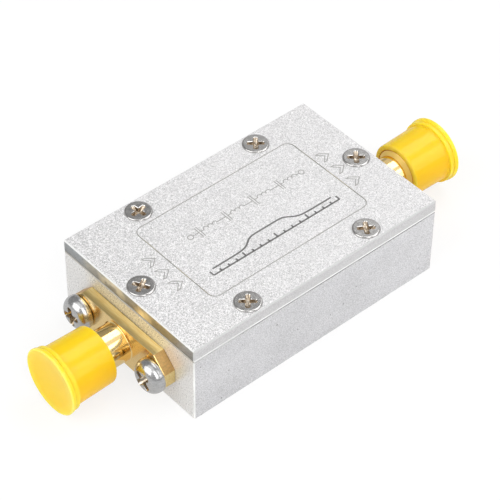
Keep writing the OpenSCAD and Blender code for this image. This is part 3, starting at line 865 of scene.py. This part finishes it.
def barrel():
    """Neck and threaded barrel as one closed solid."""
    start = FLANGE_T + NECK_L
    just_before = 0.01
    rows = [FLANGE_T / 2, FLANGE_T]
    rows += [FLANGE_T + NECK_FILLET * share for share in (0.15, 0.35, 0.6, 0.8, 1, 1.2)]
    rows += [start - just_before]
    count = round((BARREL_TIP - start) / THREAD_PITCH * ROWS_PER_PITCH)
    rows += [start + (BARREL_TIP - start) * i / count for i in range(count + 1)]
    bm = bmesh.new()
    rings = [[bm.verts.new((rows[0], 0, 0))]]
    for x in rows:
        ring = []
        for i in range(JACK_SEGMENTS):
            share = i / JACK_SEGMENTS
            r = barrel_radius(x, share)
            ring.append(bm.verts.new((x, r * math.cos(2 * math.pi * share),
                                      r * math.sin(2 * math.pi * share))))
        rings.append(ring)
    rings.append([bm.verts.new((BARREL_TIP, 0, 0))])
    for a, b in zip(rings, rings[1:]):
        join_rings(bm, a, b)
    return bm


def jack_bores():
    """The bores through a jack: sleeve, socket and the two clearance holes."""
    over = 0.5
    depth = BARREL_TIP - SOCKET_DEPTH
    bore = [(-over, 0), (-over, SLEEVE_BORE_R), (depth, SLEEVE_BORE_R), (depth, SOCKET_R),
            (BARREL_TIP - SOCKET_CHAMFER, SOCKET_R),
            (BARREL_TIP + over, SOCKET_R + SOCKET_CHAMFER + over), (BARREL_TIP + over, 0)]
    hole = [(-over, 0), (-over, SCREW_HOLE_R), (FLANGE_T + over, SCREW_HOLE_R), (FLANGE_T + over, 0)]
    holes = [moved(revolve(hole, HOLE_SEGMENTS), Matrix.Translation((0, side * FLANGE_PITCH / 2, 0)))
             for side in (-1, 1)]
    return merged([revolve(bore, JACK_SEGMENTS), *holes])


def jack_shells():
    """Both gold shells, which are copies of one mesh."""
    shell = combined(combined(flange_plate(), barrel(), "UNION"), jack_bores(), "DIFFERENCE")
    for end, side in ENDS.items():
        bm = moved(shell.copy(), end_matrix(side))
        finish(bm, f"{end}_jack_shell", "case", gold_paint, sharp=20,
               replaces=[f"{end}_shell"], slot="gold_plate")
    shell.free()


# Screws, all built with the head along +X above the origin
def cross_outline(reach, half_w):
    """Outline of a cross with round wing ends and hollow corners, as (y, z) points."""
    corner = 0.35 * half_w
    bulge = 0.6 * half_w
    wing = [(reach - bulge * (1 - math.cos(a)), half_w * math.sin(a)) for a in angles(-90, 90, 6)]
    wing += arc((half_w + corner, half_w + corner), corner, 270, 180, 4)
    points = []
    for quarter in range(4):
        c = round(math.cos(quarter * math.pi / 2))
        s = round(math.sin(quarter * math.pi / 2))
        points += [(y * c - z * s, y * s + z * c) for y, z in wing]
    return points


def cross_cutter(top, span, depth, wing, turn):
    """Tool that cuts a cross recess with a flared rim into a head whose top is at x = top."""
    above = 0.3
    reach = span / 2
    half_w = wing / 2
    levels = [(rise, reach + RECESS_FLARE + rise, half_w + RECESS_FLARE + rise)
              for rise in (above, 0, -RECESS_FLARE)]
    levels += [(-down * depth, out * reach, aside * half_w) for down, out, aside in RECESS_WALLS]
    bm = bmesh.new()
    rings = [[bm.verts.new((top + x, y, z)) for y, z in cross_outline(r, w)] for x, r, w in levels]
    for a, b in zip(rings, rings[1:]):
        join_rings(bm, a, b)
    bm.faces.new(rings[0])
    bm.faces.new(rings[-1])
    for face in bm.faces:
        face.material_index = int(max(v.co.x for v in face.verts) < top - RECESS_FLARE / 2)
    return moved(bm, Matrix.Rotation(math.radians(turn), 4, "X"))


def screw(shank_l, shank_r, head, top, recess, turn):
    """A screw of a plain shank, a head of (x, radius) points and a cross recess in its top."""
    shank = [(-shank_l, 0), (-shank_l, shank_r - SHANK_CHAMFER), (SHANK_CHAMFER - shank_l, shank_r)]
    body = revolve([*shank, *head, (top, 0)], HEAD_SEGMENTS)
    return combined(body, cross_cutter(top, *recess, turn), "DIFFERENCE")


def pan_screw(head_h, shank_l, turn):
    """Flange screw: a domed head with a rounded lower edge."""
    flat_r = PAN_FLAT * PAN_R
    lower_edge = arc((PAN_EDGE, PAN_R - PAN_EDGE), PAN_EDGE, 180, 90, 5)
    dome = [(PAN_SIDE + (head_h - PAN_SIDE) * math.sin(a), flat_r + (PAN_R - flat_r) * math.cos(a))
            for a in angles(0, 90, 20)]
    head = [(0, PAN_SHANK_R), *lower_edge, *dome, (head_h, flat_r / 2)]
    return screw(shank_l, PAN_SHANK_R, head, head_h, PAN_RECESS, turn)


def countersunk_screw(shank_l, turn):
    """Lid screw: a cone with a flat top and a rounded rim."""
    inside_rim = 0.04
    rim = [(HEAD_EDGE * math.sin(a), LID_HEAD_R - LID_RIM_W * (1 - math.cos(a)))
           for a in angles(0, 90, 8)]
    head = [(LID_SHANK_R - LID_HEAD_R, LID_SHANK_R), *rim, (HEAD_EDGE, rim[-1][1] - inside_rim)]
    return screw(shank_l, LID_SHANK_R, head, HEAD_EDGE, LID_RECESS, turn)


def flange_screws():
    """The pan-head pair of each jack."""
    head_h = SCREW_HIGH.x - CASE_END - FLANGE_T
    shank_l = CASE_END + FLANGE_T - SCREW_LOW.x
    for end, side in ENDS.items():
        screws = []
        for y, turn in zip((-FLANGE_PITCH / 2, FLANGE_PITCH / 2), FLANGE_SCREW_TURNS):
            place = end_matrix(side) @ Matrix.Translation((FLANGE_T, y, 0))
            screws.append(moved(pan_screw(head_h, shank_l, turn), place))
        finish(merged(screws), f"{end}_flange_screw_pair", "case", flange_screw_paint,
               pan_recess_shade_paint, replaces=[f"{end}_flange_screws"], slot="flange_screw_nickel")


def lid_screws():
    """The six countersunk screws of the lid."""
    shank_l = LID_TOP - box_mm("lid_screws")[0].z
    upright = Matrix.Rotation(-math.pi / 2, 4, "Y")
    screws = [moved(countersunk_screw(shank_l, turn), Matrix.Translation((x, y, LID_TOP)) @ upright)
              for x, y, turn in LID_SCREW_PLACES]
    finish(merged(screws), "lid_screw_set", "case", lid_screw_paint, lid_recess_shade_paint,
           replaces=["lid_screws"], slot="lid_screw_steel")


# Marks on the lid
def stroke(bm, points, width, low, high, closed=False):
    """Flat strip of even width along a line of (x, y) points, as a thin closed solid."""
    count = len(points)
    sides = ([], [])
    for i, point in enumerate(points):
        here = Vector(point)
        before = Vector(points[i - 1]) if i or closed else None
        after = Vector(points[(i + 1) % count]) if i < count - 1 or closed else None
        into = (here - before).normalized() if before else (after - here).normalized()
        out = (after - here).normalized() if after else into
        along = (into + out).normalized()
        across = Vector((-along.y, along.x)) * (width / 2 / max(along.dot(out), MITRE_LIMIT))
        for side, verts in zip((-1, 1), sides):
            x, y = here + side * across
            verts.append((bm.verts.new((x, y, low)), bm.verts.new((x, y, high))))
    left, right = sides
    for i in range(count if closed else count - 1):
        j = (i + 1) % count
        (a0, a1), (b0, b1), (c0, c1), (d0, d1) = left[i], right[i], right[j], left[j]
        bm.faces.new((a1, b1, c1, d1))
        bm.faces.new((a0, d0, c0, b0))
        bm.faces.new((a0, a1, d1, d0))
        bm.faces.new((b0, c0, c1, b1))
    if not closed:
        for i in (0, -1):
            (a0, a1), (b0, b1) = left[i], right[i]
            bm.faces.new((a0, b0, b1, a1))


def round_rect(centre, size, radius):
    """Closed outline of a rectangle with round corners, as (x, y) points."""
    x = size[0] / 2 - radius
    y = size[1] / 2 - radius
    corners = ((x, y, 0), (-x, y, 90), (-x, -y, 180), (x, -y, 270))
    return [point for cx, cy, start in corners
            for point in arc((centre[0] + cx, centre[1] + cy), radius, start, start + 90, 10)]


def border():
    """Dark floor of the engraved border."""
    bm = bmesh.new()
    low = LID_TOP - BORDER_DEPTH
    stroke(bm, round_rect(BORDER_CENTRE, BORDER[:2], BORDER[2]), BORDER_W, low, low + BORDER_FLOOR_T,
           closed=True)
    finish(bm, "engraved_border_floor", "case", border_ink, slot="blasted_aluminium")


def passband_plot():
    """Generic response curve over a scale, as lists of (x, y) points."""
    left, right, low, high = -9.9, 10.9, -4.3, -2.05
    middle = (left + right) / 2
    tick_gap = 1.3
    short_tick = 0.42
    long_tick = 0.75
    ticks = round((right - left) / tick_gap)
    lines = [[(left, low), (right, low)]]
    for i in range(ticks + 1):
        x = left + (right - left) * i / ticks
        lines.append([(x, low), (x, low + (short_tick if i % 4 else long_tick))])
    inset = 0.6
    foot = 0.95
    half_pass = 3.6
    steepness = 8
    steps = 60
    curve = []
    for i in range(steps + 1):
        x = left + inset + (right - left - 2 * inset) * i / steps
        away = abs(x - middle) / half_pass
        curve.append((x, low + foot + (high - low - foot) / (1 + away ** steepness)))
    return lines + [curve]


def coil(x, y, humps, size):
    """Row of humps along X that starts at (x, y), as points."""
    foot = 5
    radius = size / 2 / math.cos(math.radians(foot))
    centre_y = y - radius * math.sin(math.radians(foot))
    points = [(x, y)]
    for i in range(humps):
        points += arc((x + size * (i + 0.5), centre_y), radius, 180 - foot, foot, 8)[1:]
    return points


def ladder_network():
    """Generic line drawing of a filter: coils and capacitors between two terminals.

    Gives its open lines and the closed rings of the terminals.
    """
    left, right, y = -8.2, 11.0, 2.6
    cells = 4
    plate_half = 0.95
    plate_gap = 0.32
    plate_place = 0.22
    coil_place = 0.12
    humps = 3
    hump_size = 0.72
    terminal_r = 0.38
    terminal_sides = 20
    first = left + 2 * terminal_r
    last = right - 2 * terminal_r
    cell = (last - first) / cells
    rings = [arc((x, y), terminal_r, 0, 360, terminal_sides)[:-1]
             for x in (left + terminal_r, right - terminal_r)]
    lines = []
    lead = [(first, y)]
    for i in range(cells):
        near = first + (i + plate_place) * cell
        far = near + plate_gap
        lines.append([*lead, (near, y)])
        lines += [[(x, y - plate_half), (x, y + plate_half)] for x in (near, far)]
        lead = [(far, y), *coil(far + coil_place * cell, y, humps, hump_size)]
    lines.append([*lead, (last, y)])
    return lines, rings


def port_arrows(x, y_places):
    """Outlines of chevrons that point from the input to the output."""
    size = 0.85
    back = 0.45 * size
    tip = 0.75 * size
    return [[(x - size, y - size), (x, y), (x - size, y + size), (x - back, y + size),
             (x + tip, y), (x - back, y - size)] for y in y_places]


def marks():
    """The generic marks on the lid: the scale in a dark ink, the finer lines in a faint one."""
    low = LID_TOP - MARK_SINK
    high = LID_TOP + MARK_RISE
    bm = bmesh.new()
    for line in passband_plot():
        stroke(bm, line, SCALE_LINE_W, low, high)
    finish(bm, "lid_scale_mark", "case", dark_ink, slot="blasted_aluminium")
    bm = bmesh.new()
    lines, rings = ladder_network()
    for x, pitch in CHEVRON_ROWS:
        rings += port_arrows(x, (-pitch, 0, pitch))
    for line in lines:
        stroke(bm, line, FINE_LINE_W, low, high)
    for ring in rings:
        stroke(bm, ring, FINE_LINE_W, low, high, closed=True)
    finish(bm, "lid_line_marks", "case", faint_ink, slot="blasted_aluminium")


# Stage
CAMERA_AZIMUTH = math.radians(-41.6911789)
CAMERA_ELEVATION = math.radians(44.4153358)
CAMERA_ROLL = math.radians(0.750009055)
CAMERA_DISTANCE = 282.744683
CAMERA_SHIFT = (0.127454525, -4.84147053)
FOCAL_PIXELS = 2200.66705
IMAGE_PIXELS = 500
SENSOR = 36.0
# Nearest and farthest distance that the camera sees, in metres
CAMERA_CLIP = (0.01, 20)


def camera():
    """Camera of the photograph, found from the corners of the case."""
    back = Vector((math.sin(CAMERA_AZIMUTH) * math.cos(CAMERA_ELEVATION),
                   -math.cos(CAMERA_AZIMUTH) * math.cos(CAMERA_ELEVATION),
                   math.sin(CAMERA_ELEVATION)))
    level = (-back).cross(Vector((0, 0, 1))).normalized()
    upright = level.cross(-back)
    right = math.cos(CAMERA_ROLL) * level + math.sin(CAMERA_ROLL) * upright
    up = math.cos(CAMERA_ROLL) * upright - math.sin(CAMERA_ROLL) * level
    place = back * CAMERA_DISTANCE - right * CAMERA_SHIFT[0] - up * CAMERA_SHIFT[1]
    data = bpy.data.cameras.new("camera")
    data.sensor_width = SENSOR
    data.lens = SENSOR * FOCAL_PIXELS / IMAGE_PIXELS
    data.clip_start, data.clip_end = CAMERA_CLIP
    made = bpy.data.objects.new("camera", data)
    bpy.context.scene.collection.objects.link(made)
    made.matrix_world = Matrix.Translation(place * MM) @ Matrix((right, up, back)).transposed().to_4x4()
    bpy.context.scene.camera = made


SOFTBOX_DISTANCE = 0.6
# Name, azimuth, elevation, width and height in degrees, and radiance
SOFTBOXES = (
    ("tube_a", 14, 60, 33, 26, 2.4),
    ("tube_b", -51, 40, 18, 32, 2.4),
    ("tube_fill", -33, 55, 24, 26, 0.55),
    ("top", 180, 70, 46, 40, 0.6),
    ("left", 170, 39, 45, 42, 2.1),
    ("front", -108, 40, 44, 20, 2.6),
    ("front_low", -60, 21, 18, 36, 1.5),
    ("back_right", 34, 30, 34, 34, 0.3),
)


def direction(azimuth, elevation):
    """Unit vector from degrees, with azimuth counted from +X towards +Y."""
    a = math.radians(azimuth)
    e = math.radians(elevation)
    return Vector((math.cos(a) * math.cos(e), math.sin(a) * math.cos(e), math.sin(e)))


def softbox(name, azimuth, elevation, width, height, radiance):
    """Area lamp as wide and high in degrees as seen from the object. Its width runs round X."""
    towards = direction(azimuth, elevation)
    data = bpy.data.lights.new(name, "AREA")
    data.shape = "RECTANGLE"
    data.size = 2 * SOFTBOX_DISTANCE * math.tan(math.radians(width / 2))
    data.size_y = 2 * SOFTBOX_DISTANCE * math.tan(math.radians(height / 2))
    data.energy = radiance * math.pi * data.size * data.size_y
    lamp = bpy.data.objects.new(name, data)
    bpy.context.scene.collection.objects.link(lamp)
    across = Vector((1, 0, 0)).cross(towards).normalized()
    lamp.location = towards * SOFTBOX_DISTANCE
    lamp.rotation_euler = Matrix((across, towards.cross(across), towards)).transposed().to_euler()
    lamp.visible_camera = False


# Grey levels of the room
ROOM = 0.45
DARK_CARD = 0.34
DARK_CARD_PLACE = (100, 35)
# Degrees from its middle at which the dark card is gone, and at which it is whole
DARK_CARD_EDGE = (52, 30)


def world():
    """Plain grey room with a darker wall behind the object. The camera sees white."""
    made = bpy.data.worlds.new("studio")
    bpy.context.scene.world = made
    made.use_nodes = True
    tree = made.node_tree
    tree.nodes.clear()
    add = tree.nodes.new
    where = add("ShaderNodeTexCoord")
    near = add("ShaderNodeVectorMath")
    near.operation = "DOT_PRODUCT"
    near.inputs[1].default_value = direction(*DARK_CARD_PLACE)
    tree.links.new(where.outputs["Generated"], near.inputs[0])
    level = add("ShaderNodeMapRange")
    level.interpolation_type = "SMOOTHSTEP"
    for name, edge in zip(("From Min", "From Max"), DARK_CARD_EDGE):
        level.inputs[name].default_value = math.cos(math.radians(edge))
    level.inputs["To Min"].default_value = ROOM
    level.inputs["To Max"].default_value = DARK_CARD
    tree.links.new(near.outputs["Value"], level.inputs["Value"])
    room = add("ShaderNodeBackground")
    tree.links.new(level.outputs[0], room.inputs["Strength"])
    white = add("ShaderNodeBackground")
    path = add("ShaderNodeLightPath")
    choose = add("ShaderNodeMixShader")
    tree.links.new(path.outputs["Is Camera Ray"], choose.inputs[0])
    tree.links.new(room.outputs[0], choose.inputs[1])
    tree.links.new(white.outputs[0], choose.inputs[2])
    out = add("ShaderNodeOutputWorld")
    tree.links.new(choose.outputs[0], out.inputs["Surface"])
    for node in (room, white):
        node.inputs["Color"].default_value = (1, 1, 1, 1)
    white.inputs["Strength"].default_value = 1


FLOOR_SIZE = 4.0
FLOOR_TINT = (0.97, 0.97, 0.97, 1)
FLOOR_WHITE = 0.8
FLOOR_IN_METAL = 0.65


def floor():
    """White table, which shows the object's shadow faintly."""
    bm = bmesh.new()
    bmesh.ops.create_grid(bm, x_segments=1, y_segments=1, size=FLOOR_SIZE / 2)
    mesh = bpy.data.meshes.new("floor")
    bm.to_mesh(mesh)
    bm.free()
    made = bpy.data.objects.new("floor", mesh)
    bpy.context.scene.collection.objects.link(made)
    p = Paint("white_table")
    diffuse = p.add("ShaderNodeBsdfDiffuse", {"Color": FLOOR_TINT}).outputs[0]
    path = p.add("ShaderNodeLightPath").outputs
    seen = p.plus(p.times(path["Is Glossy Ray"], FLOOR_IN_METAL), path["Is Camera Ray"])
    seen = p.plus(seen, path["Is Transmission Ray"], clamp=True)
    glow = p.add("ShaderNodeEmission", {"Color": (1, 1, 1, 1), "Strength": seen}).outputs[0]
    share = p.times(p.math("CEIL", seen), FLOOR_WHITE)
    mixed = p.add("ShaderNodeMixShader", {0: share, 1: diffuse, 2: glow}).outputs[0]
    p.add("ShaderNodeOutputMaterial", {"Surface": mixed})
    mesh.materials.append(p.material)


paint_nodes()
jack_shells()
flange_screws()
lid_screws()
for end_name in ENDS:
    dust_cap(end_name)
border()
marks()
floor()
world()
for box in SOFTBOXES:
    softbox(*box)
camera()
bpy.context.scene.view_settings.view_transform = "Standard"
